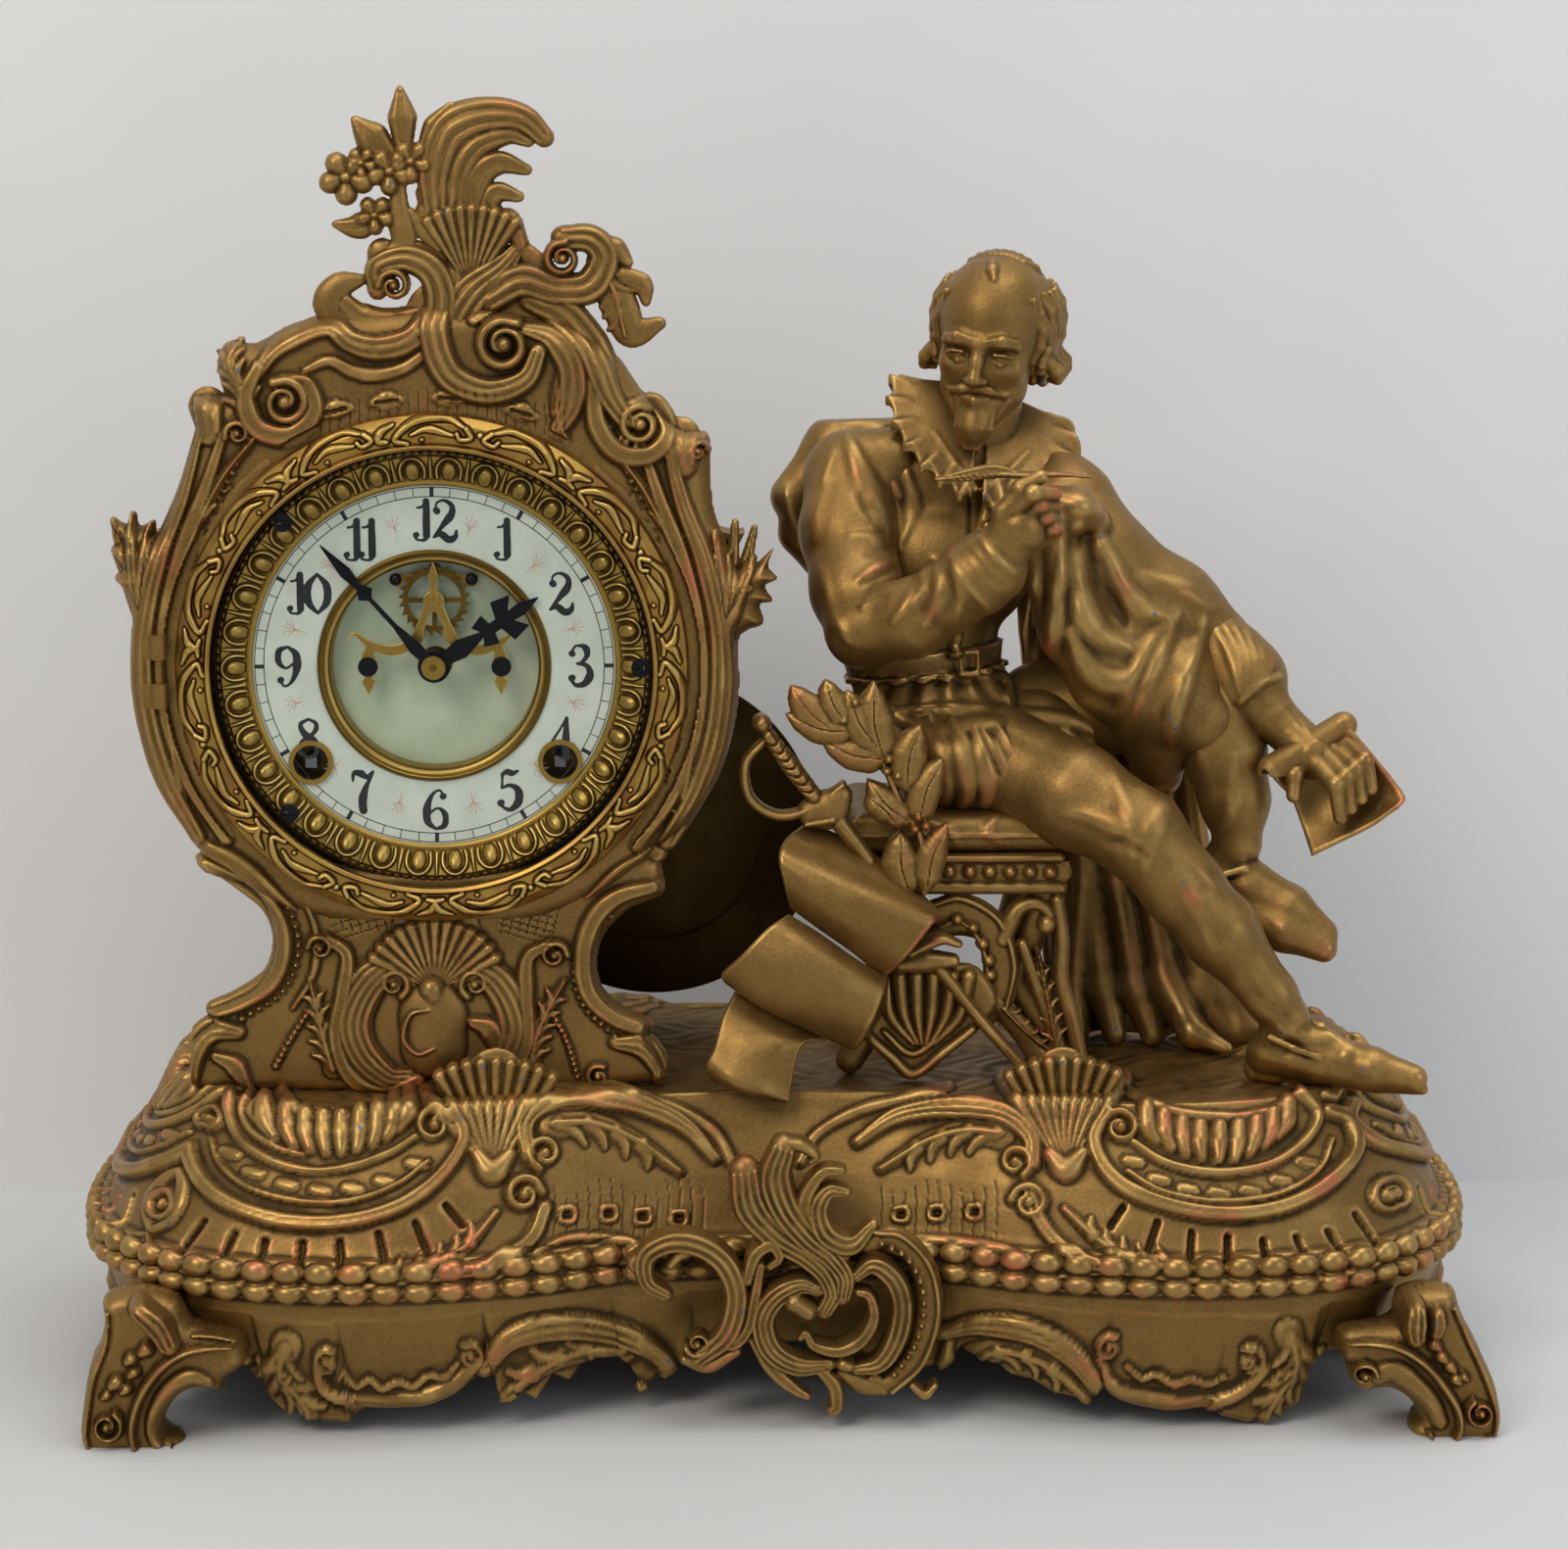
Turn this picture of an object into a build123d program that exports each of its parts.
from build123d import *
import math
import os

# A figural table clock: a hollow footed base, a waisted scroll case with a glazed dial on the left,
# and a seated man on a stool on the right. All lengths are in millimetres and angles in degrees.
# X runs to the right, Y to the back and Z up. The origin is the middle of the footprint on the table.

# Base
BASE_W = 444.0
BASE_D = 216.0
BASE_H = 96.0
BASE_WALL = 4.0
FOOT_REACH = 6.0
APRON_BOTTOM = 20.0
BAND_BOTTOM = 43.0
BAND_HEIGHT = 13.0
COVE_INSET = 27.0
APRON_INSET = 9.0
TOP_EDGE = 7.0
FOOT_WIDTH = 27.0
FOOT_TALL = 46.0
FOOT_VOLUTE_R = 11.0
SHELL_R = 25.0
SHELL_THICK = 14.0
CUP_R = 35.0
CUP_HEIGHT = 12.0
CARTOUCHE_H = 92.0
CARTOUCHE_W = 66.0
CARTOUCHE_THICK = 7.0
CARTOUCHE_LEAN = 13.0
CARTOUCHE_X = 15.5
CARTOUCHE_Z = 50.0
LUG_R = 5.0
LUG_LENGTH = 34.0

# Case and its stand
DIAL_X = -104.0
DIAL_Z = 227.0
CASE_R = 86.0
CASE_FRONT_Y = -54.0
CASE_DEPTH = 30.0
CASE_BACK_DEPTH = 18.0
CASE_WALL = 4.0
STAND_DEPTH = 62.0
STAND_WAIST = 42.0
STAND_WALL = 5.0
CREST_DEPTH = 13.0
CREST_ARM_R = 8.5
CREST_EYE_RISE = 3.0
SPRAY_THICK = 7.0

# Dial, sash and bezel
DIAL_R = 55.5
DIAL_OPENING_R = 35.4
DIAL_THICK = 1.4
DIAL_Y = -47.0
RECESS_DEPTH = 8.0
INNER_RING_WIDTH = 3.6
SASH_R = 66.0
SASH_THICK = 4.0
SCREW_R = 1.9
GROMMET_R = 6.8
GROMMET_WALL = 1.5
BEZEL_R = 72.0
BEZEL_WIDTH = 5.0
BEZEL_DEPTH = 8.0
GLASS_THICK = 1.8
SCROLL_RIM_R = 79.0
HINGE_PIN_R = 1.1
HINGE_LENGTH = 22.0
RUN_GAP = 0.05
SEAT_GAP = 0.3

# Movement
CAN_R = 71.0
CAN_WALL = 1.2
CAN_BACK_Y = 47.0
ACCESS_R = 50.0
COVER_R = 54.0
COVER_PIVOT_R = 65.2
COVER_PIVOT_DROP = 4.4
COVER_THICK = 1.2
COVER_DISH = 4.0
COVER_RIM = 17.0
PLATE_W = 100.0
PLATE_H = 84.0
PLATE_THICK = 1.8
PLATE_GAP = 30.0
FRONT_PLATE_Y = -30.0
PILLAR_R = 2.6
ARBOR_R = 1.2
WIND_X = 37.8
WIND_Z = -29.4
WIND_ARBOR_R = 2.4
WIND_SQUARE = 3.4
ESCAPE_Z = 19.5
PALLET_Z = 28.6
PALLET_SPREAD_ANGLE = 28.0
MODULE_MAIN = 0.55
MODULE_TRAIN = 0.40
MODULE_MOTION = 0.50
WHEEL_THICK = 1.2
GREAT_TEETH = 72
SECOND_PINION_TEETH = 18
SECOND_TEETH = 72
CENTRE_PINION_TEETH = 18
CENTRE_TEETH = 84
THIRD_PINION_TEETH = 7
THIRD_TEETH = 77
ESCAPE_PINION_TEETH = 7
ESCAPE_TEETH = 48
ESCAPE_R = 11.0
ESCAPE_TOOTH = 1.5
CANNON_TEETH = 12
MINUTE_TEETH = 36
MINUTE_PINION_TEETH = 10
HOUR_TEETH = 40
STRIKE_PIN_TEETH = 56
STRIKE_PINION_TEETH = 8
SPRING_R = 18.0
SPRING_WIDTH = 12.0
PENDULUM_LENGTH = 80.0
BOB_R = 12.5
BOB_THICK = 6.0
GONG_R = 42.0
GONG_WIRE = 2.2
GONG_TURNS = 3
GONG_PITCH = 5.0
HAMMER_R = 4.0
FLY_R = 9.0
REGULATOR_Z = 59.5

# Hands
MINUTE_HAND = 50.0
HOUR_HAND = 38.0
HAND_THICK = 0.7
HAND_WIDTH = 3.4
MINUTE_ANGLE = 42.0
HOUR_ANGLE = -56.5

# Figure and its stool
FIG_LEFT = -20.0
FIG_SPAN = 220.0
FIG_DEEP = 120.0
FIG_TALL = 254.0
HEAD_R = 21.0
NECK_R = 10.5
COLLAR_R = 25.0
COLLAR_THICK = 3.0
UPPER_ARM_R = 14.0
ELBOW_R = 12.0
WRIST_R = 7.0
HAND_R = 8.0
THIGH_R = 17.5
KNEE_R = 13.0
CALF_R = 11.5
ANKLE_R = 7.5
SHOE_R = 7.0
TOE_R = 4.0
PUFF_R = 15.0
CLOAK_THICK = 9.0
QUILL_R = 1.6
STOOL_W = 64.0
STOOL_D = 62.0
STOOL_X = 57.0
STOOL_H = 68.0
APRON_H = 10.0
CUSHION_H = 17.0
STOOL_LEG_R = 5.5
PAGE_THICK = 2.4
SWORD_R = 3.0
PARCHMENT_THICK = 2.6
LEAF_L = 26.0
LEAF_W = 10.0
LEAF_THICK = 3.0
SHIELD_W = 42.0
SHIELD_H = 32.0
SHIELD_THICK = 4.0

OVER = 1.0
DEG = math.pi / 180.0
STEEP = 90.0
TURN = 360.0


def write(shape, name):
    export_step(shape, f"parts/{name}.step")


def biggest(shape):
    return max(shape.solids(), key=lambda s: s.volume)


def fuse(pieces):
    first = pieces[0]
    return first.fuse(*pieces[1:]) if len(pieces) > 1 else first


def slab(face, thick, y_back):
    """A flat outline drawn in X and Z, given a thickness towards the viewer from y_back."""
    return Pos(0, y_back, 0) * Rot(STEEP, 0, 0) * extrude(face, thick)


def ring(outer, inner):
    return Circle(outer) - Circle(inner)


def rod(x, z, r, y_front, y_back):
    return Pos(x, 0, z) * slab(Circle(r), y_back - y_front, y_back)


def knuckle(p, q, rp, rq):
    """A tapered round link between two points, without its rounded ends."""
    span = Vector(*q) - Vector(*p)
    place = Plane(origin=p, z_dir=span)
    if abs(rp - rq) < OVER / TURN:
        return Solid.make_cylinder(rp, span.length, place)
    return Solid.make_cone(rp, rq, span.length, place)


def ball(p, r):
    return Pos(*p) * Sphere(r)


def limb(points, radii):
    """A chain of tapered links with a ball at each point."""
    pieces = [ball(points[0], radii[0])]
    for p, q, rp, rq in zip(points, points[1:], radii, radii[1:]):
        pieces += [knuckle(p, q, rp, rq), ball(q, rq)]
    return fuse(pieces)


def egg(p, rx, ry, rz):
    return Pos(*p) * scale(Sphere(rx), by=(1, ry / rx, rz / rx))


# Base

PLAN_SHARES = (
    (0.00, -0.76), (0.20, -0.80), (0.36, -0.93), (0.58, -1.00), (0.78, -0.93), (0.90, -0.74),
    (0.975, -0.46),
    (1.00, 0.00), (0.975, 0.50), (0.88, 0.80), (0.60, 0.90), (0.30, 0.86), (0.00, 0.84),
)
BODY_HALF_W = BASE_W / 2 - FOOT_REACH
BODY_HALF_D = BASE_D / 2 - FOOT_REACH


def plan_wire(inset, z):
    """The base's lobed outline at a height, drawn in by an inset all round."""
    half_w, half_d = BODY_HALF_W - inset, BODY_HALF_D - inset
    right = [(x * half_w, y * half_d, z) for x, y in PLAN_SHARES]
    left = [(-x, y, z) for x, y, z in right[-2:0:-1]]
    points = right + left
    edges = [
        ThreePointArc(points[i], points[i + 1], points[(i + 2) % len(points)])
        for i in range(0, len(points), 2)
    ]
    return Wire(edges)


def base_block(levels):
    return Solid.make_loft([plan_wire(inset, z) for z, inset in levels], True)


def base_casting():
    top_inset = COVE_INSET
    outer = base_block(
        (
            (APRON_BOTTOM, APRON_INSET),
            (BAND_BOTTOM, APRON_INSET * 0.5),
            (BAND_BOTTOM, 0.0),
            (BAND_BOTTOM + BAND_HEIGHT, 0.0),
            (BAND_BOTTOM + BAND_HEIGHT, APRON_INSET * 0.5),
            (BAND_BOTTOM + BAND_HEIGHT * 2, top_inset * 0.62),
            (BASE_H - TOP_EDGE, top_inset),
            (BASE_H, top_inset),
        )
    )
    inner = base_block(
        (
            (APRON_BOTTOM - OVER, APRON_INSET + BASE_WALL),
            (BAND_BOTTOM, APRON_INSET + BASE_WALL),
            (BAND_BOTTOM + BAND_HEIGHT * 2, top_inset * 0.62 + BASE_WALL * 1.5),
            (BASE_H - BASE_WALL, top_inset + BASE_WALL * 1.5),
        )
    )
    return outer, outer - inner




FOOT_LEVEL_SHARES = (
    (0.0, 1.0, 0.72), (0.2, 1.0, 0.64), (0.5, 0.98, 0.56), (0.8, 0.97, 0.60), (1.0, 0.93, 0.60)
)


def foot(side, end):
    """A corner foot that flares out to its toe, with a volute rolled up on the toe's front."""
    reach_x = BASE_W / 2 - FOOT_REACH * 1.6 - FOOT_WIDTH * 0.7
    reach_y = BASE_D / 2 - FOOT_WIDTH / 2
    sections = []
    for height, reach, half in FOOT_LEVEL_SHARES:
        x, y, a = side * reach_x * reach, end * reach_y * reach, FOOT_WIDTH * half
        corner = ((-a, -FOOT_WIDTH / 2), (a, -FOOT_WIDTH / 2), (a, FOOT_WIDTH / 2), (-a, FOOT_WIDTH / 2))
        sections.append(Wire.make_polygon([(x + i, y + j, height * FOOT_TALL) for i, j in corner]))
    body = Solid.make_loft(sections, True)
    inner_x = side * (reach_x - FOOT_WIDTH * 0.6)
    roll = Pos(
        inner_x, end * reach_y, FOOT_VOLUTE_R
    ) * Rot(STEEP, 0, 0) * Cylinder(FOOT_VOLUTE_R, FOOT_WIDTH)
    return body.fuse(roll)


def fan_shell(side):
    """A ribbed fan standing on the front edge of the top."""
    x, y = side * BODY_HALF_W * 0.39, -(BODY_HALF_D - COVE_INSET) * 0.86
    fan = Circle(SHELL_R) - Pos(0, -SHELL_R) * Rectangle(SHELL_R * 3, SHELL_R * 1.1)
    for k in range(-3, 4):
        angle = (STEEP + k * STEEP / 4) * DEG
        fan += Pos(SHELL_R * math.cos(angle), SHELL_R * math.sin(angle)) * Circle(SHELL_R / 6)
    block = Pos(x, 0, BASE_H - SHELL_R * 0.4) * slab(fan, SHELL_THICK, y)
    return block


CARTOUCHE_DEPTH_SHARE = 0.84
CARTOUCHE_SHARES = (
    (-0.47, 0.46), (-0.51, 0.35), (-0.45, 0.20), (-0.33, 0.12), (-0.27, 0.03), (-0.36, -0.10),
    (-0.38, -0.24),
    (-0.27, -0.35), (-0.09, -0.42), (0.00, -0.49), (0.08, -0.43), (0.25, -0.40), (0.40, -0.32),
    (0.48, -0.17),
    (0.47, 0.00), (0.36, 0.11), (0.20, 0.20), (0.11, 0.29), (0.09, 0.41), (-0.02, 0.49), (-0.16, 0.46),
    (-0.27, 0.49),
)
COMPANION_SHARES = (
    (-0.89, 0.03), (-0.75, 0.13), (-0.53, 0.13), (-0.45, 0.04), (-0.50, -0.10), (-0.42, -0.17),
    (-0.29, -0.20),
    (-0.29, -0.30), (-0.36, -0.34), (-0.57, -0.30), (-0.68, -0.20), (-0.71, -0.10), (-0.84, -0.06),
)
CARTOUCHE_HOLE_SHARES = ((0.10, -0.16, 0.09), (-0.14, -0.13, 0.06))


def cartouche():
    """The pierced scroll that stands in front of the middle of the base, on two lugs."""
    face = make_face(
        Spline([(x * CARTOUCHE_W, z * CARTOUCHE_H) for x, z in CARTOUCHE_SHARES], periodic=True)
    )
    face += make_face(
        Spline([(x * CARTOUCHE_W, z * CARTOUCHE_H) for x, z in COMPANION_SHARES], periodic=True)
    )
    for x, z, r in CARTOUCHE_HOLE_SHARES:
        face -= Pos(x * CARTOUCHE_W, z * CARTOUCHE_H) * Circle(r * CARTOUCHE_H)
    scroll = slab(face, CARTOUCHE_THICK, 0)
    for x, z in ((-0.2, 0.3), (0.3, -0.1)):
        scroll = scroll.fuse(rod(x * CARTOUCHE_W, z * CARTOUCHE_H, LUG_R, -CARTOUCHE_THICK / 2, LUG_LENGTH))
    place = Pos(CARTOUCHE_X, -BODY_HALF_D * CARTOUCHE_DEPTH_SHARE, CARTOUCHE_Z)
    return place * Rot(-CARTOUCHE_LEAN, 0, 0) * scroll


def place_base():
    """Writes the base, its feet and its cast ornament, each cut to seat on the casting."""
    outer, casting = base_casting()
    for side in (-1, 1):
        x, y = side * BODY_HALF_W * 0.59, -(BODY_HALF_D - COVE_INSET) * 0.67
        cup = Pos(x, y, BASE_H - CUP_HEIGHT / 2) * Cylinder(CUP_R, CUP_HEIGHT)
        casting = casting.fuse(cup - outer)
        leaf = egg((side * BODY_HALF_W, 0, BAND_BOTTOM), FOOT_REACH, CUP_R, BAND_HEIGHT)
        casting = casting.fuse(leaf - outer)
        casting = casting.fuse(fan_shell(side) - outer)
    casting = biggest(casting)
    write(casting, "base_casting")
    solid_base = outer.fuse(casting)
    feet = [biggest(foot(side, end) - solid_base) for end in (-1, 1) for side in (-1, 1)]
    write(Compound(children=feet), "base_feet")
    write(biggest(cartouche() - solid_base), "front_cartouche")
    return solid_base


# Case and stand

CASE_SHARES = (
    (0.50, -1.05), (0.66, -0.86), (0.80, -0.76), (0.95, -0.48), (1.04, -0.05), (1.06, 0.22), (1.15, 0.46),
    (1.00, 0.50), (0.94, 0.66), (0.90, 0.78), (0.84, 0.88), (0.72, 0.95), (0.68, 1.08), (0.38, 1.20),
    (0.00, 1.24),
)


def case_face(factor):
    """The outline of the case around its dial, scaled about the dial's middle."""
    right = [(x * CASE_R * factor, z * CASE_R * factor) for x, z in CASE_SHARES]
    left = [(-x, z) for x, z in right]
    edges = [Line(left[0], right[0])]
    for i in range(0, len(right) - 1, 2):
        edges += [ThreePointArc(*right[i:i + 3]), ThreePointArc(*left[i:i + 3])]
    return Pos(DIAL_X, DIAL_Z) * make_face(edges)


WALL_SHARE = 1 - CASE_WALL / CASE_R
SPLIT_Y = CASE_FRONT_Y + CASE_DEPTH
BACK_Y = SPLIT_Y + CASE_BACK_DEPTH
CAN_FRONT_Y = CASE_FRONT_Y + CASE_WALL
CAN_SEAT_R = CAN_R + RUN_GAP


def dial_bore(r, y_front, y_back):
    return rod(DIAL_X, DIAL_Z, r, y_front, y_back)


def case_front():
    """The front half of the case, a hollow shell with a round opening for the movement."""
    body = slab(case_face(1.0), CASE_DEPTH, SPLIT_Y)
    hollow = slab(case_face(WALL_SHARE), CASE_DEPTH - CASE_WALL + OVER, SPLIT_Y + OVER)
    return body - hollow - dial_bore(CAN_SEAT_R, CASE_FRONT_Y - OVER, SPLIT_Y)


def case_back():
    """The back half, a shallower shell with a round opening that holds the movement can."""
    body = slab(case_face(WALL_SHARE), CASE_BACK_DEPTH, BACK_Y)
    hollow = slab(
        case_face(WALL_SHARE * WALL_SHARE), CASE_BACK_DEPTH - CASE_WALL + OVER, BACK_Y - CASE_WALL
    )
    return body - hollow - dial_bore(CAN_SEAT_R, SPLIT_Y, BACK_Y + OVER)


STAND_LEVEL_SHARES = (
    (0.0, 1.50, 1.0), (0.14, 1.60, 1.0), (0.30, 1.42, 0.94), (0.62, 1.06, 0.78), (0.85, 1.0, 0.70),
    (1.0, 1.02, 0.70),
)


def stand_block(thin, drop):
    """The flared stand under the case, as stacked rounded rectangles drawn in by a wall."""
    tall = DIAL_Z - CASE_R * 1.05 - BASE_H
    middle_y = CASE_FRONT_Y + STAND_DEPTH * 0.35
    sections = []
    for height, wide, deep in STAND_LEVEL_SHARES:
        z = BASE_H + height * tall
        outline = RectangleRounded(
            2 * (STAND_WAIST * wide - thin), STAND_DEPTH * deep - 2 * thin, STAND_WALL
        )
        sections.append(
            (Pos(DIAL_X, middle_y, z + drop * (OVER - 2 * OVER * height)) * outline).face().outer_wire()
        )
    return Solid.make_loft(sections, True)


def stand():
    cavity = stand_block(STAND_WALL, -1)
    return stand_block(0, 0) - cavity


def crest_point(x, z, deep=0.5):
    """A point of the crest, in shares of the case radius from the dial's middle."""
    return (DIAL_X + x * CASE_R, CASE_FRONT_Y + CREST_DEPTH * deep, DIAL_Z + z * CASE_R)


CREST_SHARES = (
    (-0.59, 1.13), (-0.46, 1.20), (-0.29, 1.20), (-0.33, 1.28), (-0.29, 1.34), (-0.20, 1.33), (-0.15, 1.41),
    (-0.11, 1.51), (0.01, 1.43), (0.00, 1.63), (0.02, 1.80), (0.12, 1.93), (0.29, 1.94), (0.41, 1.90),
    (0.42, 1.81), (0.33, 1.74), (0.37, 1.67), (0.28, 1.56), (0.34, 1.48), (0.42, 1.50), (0.55, 1.48),
    (0.69, 1.44), (0.71, 1.36), (0.76, 1.30), (0.82, 1.21), (0.78, 1.14), (0.67, 1.15), (0.57, 1.30),
    (0.67, 1.06), (0.70, 0.80),
)
CREST_VOLUTE_SHARES = ((0.26, 1.13, 1.1), (0.48, 1.41, 0.8), (-0.11, 1.33, 0.8))


def crest_scrolls():
    """The rolled acanthus scrolls and the ribbed wing that stand on the case's arched top."""
    outline = [(DIAL_X + x * CASE_R, DIAL_Z + z * CASE_R) for x, z in CREST_SHARES]
    outline += [(DIAL_X, DIAL_Z + CASE_R)]
    body = slab(make_face(Polyline(outline, close=True)), CREST_DEPTH, CASE_FRONT_Y + CREST_DEPTH)
    for x, z, size in CREST_VOLUTE_SHARES:
        px, pz = DIAL_X + x * CASE_R, DIAL_Z + z * CASE_R
        eye = slab(
            Pos(px, pz) * Circle(CREST_ARM_R * size), CREST_DEPTH + CREST_EYE_RISE,
            CASE_FRONT_Y + CREST_DEPTH,
        )
        body = body.fuse(eye)
    return body


SPRAY_FLOWER_SHARES = ((-0.27, 1.70, 1.0), (-0.17, 1.75, 1.1), (-0.08, 1.80, 0.9), (-0.21, 1.58, 0.9))
SPRAY_LEAF_SHARES = (
    (-0.09, 1.93, 5), (-0.21, 1.85, -30), (-0.02, 1.86, 25), (-0.27, 1.52, -80), (-0.12, 1.50, 10)
)


def crest_spray():
    """Five-petalled flowers and leaves gathered on one stem."""
    y = CASE_FRONT_Y + CREST_DEPTH - SPRAY_THICK / 2
    stem = [crest_point(-0.06, 1.40), crest_point(-0.14, 1.62), crest_point(-0.10, 1.88)]
    pieces = [limb([(x, y, z) for x, _, z in stem], [SPRAY_THICK * 0.5] * len(stem))]
    petal = CREST_ARM_R * 0.42
    for x, z, size in SPRAY_FLOWER_SHARES:
        px, _, pz = crest_point(x, z)
        for k in range(5):
            angle = k * TURN / 5 * DEG
            at = (px + petal * 1.25 * size * math.cos(angle), y, pz + petal * 1.25 * size * math.sin(angle))
            pieces.append(ball(at, petal * size))
    for x, z, lean in SPRAY_LEAF_SHARES:
        px, _, pz = crest_point(x, z)
        leaf = scale(Sphere(LEAF_L * 0.4), by=(0.42, 0.22, 1))
        pieces.append(Pos(px, y, pz) * Rot(0, lean, 0) * leaf)
    return biggest(fuse(pieces))


def place_case():
    front, back, pedestal = case_front(), case_back(), stand()
    write(front, "case_front")
    write(back, "case_back")
    write(pedestal, "case_stand")
    case_solid = slab(case_face(1.0), CASE_DEPTH, SPLIT_Y)
    scrolls = biggest(crest_scrolls() - case_solid)
    write(scrolls, "crest_scrolls")
    write(biggest(crest_spray() - scrolls), "crest_spray")


# Dial, sash and bezel

PAN_FRONT_Y = DIAL_Y + DIAL_THICK
PAN_BACK_Y = PAN_FRONT_Y + CAN_WALL
RECESS_Y = DIAL_Y + RECESS_DEPTH
RECESS_BACK_Y = RECESS_Y + CAN_WALL
SASH_SCREW_ANGLES = (0, 135, 225)
SASH_SCREW_R = (DIAL_R + SASH_R * 2) / 3


def on_dial(x, z):
    return Pos(DIAL_X + x, 0, DIAL_Z + z)


def polar(r, angle):
    return r * math.cos(angle * DEG), r * math.sin(angle * DEG)


def winding_holes(r, y_front, y_back):
    return [rod(DIAL_X + side * WIND_X, DIAL_Z + WIND_Z, r, y_front, y_back) for side in (-1, 1)]


def dial_parts():
    """The pan, dial ring, recessed plate, inner ring, sash, grommets and their screws."""
    hole_r = GROMMET_R
    pan = ring(CAN_R - CAN_WALL, DIAL_OPENING_R)
    pan_solid = on_dial(0, 0) * slab(pan, CAN_WALL, PAN_BACK_Y)
    dial = on_dial(0, 0) * slab(ring(DIAL_R, DIAL_OPENING_R), DIAL_THICK, PAN_FRONT_Y)
    sash_back = PAN_FRONT_Y
    sash = on_dial(0, 0) * slab(ring(SASH_R, DIAL_R), SASH_THICK + DIAL_THICK, sash_back)
    for x, z in [polar(SASH_SCREW_R, a) for a in SASH_SCREW_ANGLES]:
        hole = rod(DIAL_X + x, DIAL_Z + z, SCREW_R + RUN_GAP, sash_back - SASH_THICK * 2, PAN_BACK_Y + OVER)
        sash, pan_solid = sash - hole, pan_solid - hole
    regulator = rod(
        DIAL_X, DIAL_Z + REGULATOR_Z, ARBOR_R * 2, sash_back - SASH_THICK * 2, PAN_BACK_Y + OVER
    )
    sash, pan_solid = sash - regulator, pan_solid - regulator
    for hole in winding_holes(hole_r, DIAL_Y - OVER, PAN_BACK_Y + OVER):
        dial, pan_solid = dial - hole, pan_solid - hole
    write(pan_solid, "dial_pan")
    write(dial, "dial_ring")
    write(sash, "dial_sash")
    grommets = [
        on_dial(side * WIND_X, WIND_Z) * slab(
            ring(hole_r, hole_r - GROMMET_WALL), PAN_BACK_Y - DIAL_Y + OVER, PAN_BACK_Y
        )
        for side in (-1, 1)
    ]
    write(Compound(children=grommets), "winding_grommets")
    inner = ring(DIAL_OPENING_R, DIAL_OPENING_R - INNER_RING_WIDTH)
    write(on_dial(0, 0) * slab(inner, RECESS_DEPTH + SEAT_GAP, RECESS_Y), "dial_inner_ring")
    plate = on_dial(0, 0) * slab(Circle(DIAL_OPENING_R), CAN_WALL, RECESS_BACK_Y)
    plate -= dial_bore(ARBOR_R * 4.2, RECESS_Y - OVER, RECESS_BACK_Y + OVER)
    plate -= rod(DIAL_X, DIAL_Z + ESCAPE_Z, ARBOR_R * 1.6, RECESS_Y - OVER, RECESS_BACK_Y + OVER)
    plate -= rod(DIAL_X, DIAL_Z + PALLET_Z, ARBOR_R * 1.6, RECESS_Y - OVER, RECESS_BACK_Y + OVER)
    write(plate, "recess_plate")
    head_y = sash_back - SASH_THICK - DIAL_THICK
    screws = []
    for x, z in [polar(SASH_SCREW_R, a) for a in SASH_SCREW_ANGLES]:
        shank = rod(DIAL_X + x, DIAL_Z + z, SCREW_R, head_y, PAN_BACK_Y)
        head = rod(DIAL_X + x, DIAL_Z + z, SCREW_R * 1.5, head_y - SCREW_R, head_y)
        slot = Pos(DIAL_X + x, head_y - SCREW_R, DIAL_Z + z) * Box(
            SCREW_R * 4, SCREW_R * 0.8, SCREW_R * 0.6
        )
        screws.append(shank.fuse(head) - slot)
    return screws


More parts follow.
